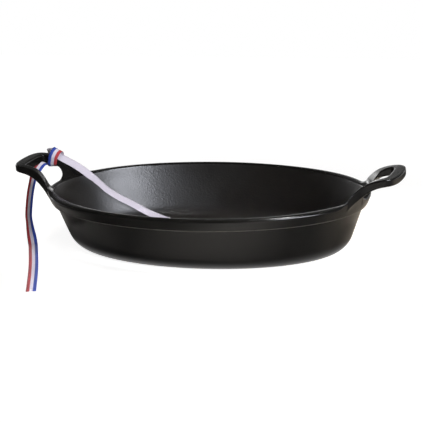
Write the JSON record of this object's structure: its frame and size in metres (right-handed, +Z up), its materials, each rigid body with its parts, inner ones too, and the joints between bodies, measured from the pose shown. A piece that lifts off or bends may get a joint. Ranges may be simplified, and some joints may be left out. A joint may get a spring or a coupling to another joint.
{
  "type": "oval roasting dish",
  "caption": "Deep oval cast iron roasting dish with sloping walls, a thick rim band, two raised loop handles and a striped ribbon tied to one handle.",
  "frame": {"origin": "middle of the flat base, on the surface that the dish stands on", "axes": "+X along the dish's long axis from handle to handle, +Y across it, +Z up out of the dish"},
  "size_m": [0.4548, 0.3133, 0.1002],
  "materials": {
    "black_enamel": "matte black enamel on cast iron, with a fine grain",
    "striped_ribbon": "woven ribbon with blue, white and red stripes",
    "ribbon_reverse": "white back of the woven ribbon"
  },
  "bodies": {
    "root": {"dish_body": "black_enamel", "rim_band": "black_enamel", "left_handle": "black_enamel", "right_handle": "black_enamel", "ribbon_hitch": "striped_ribbon", "ribbon_hanging_tail": "striped_ribbon", "ribbon_inside_tail": "ribbon_reverse"}
  },
  "joints": []
}
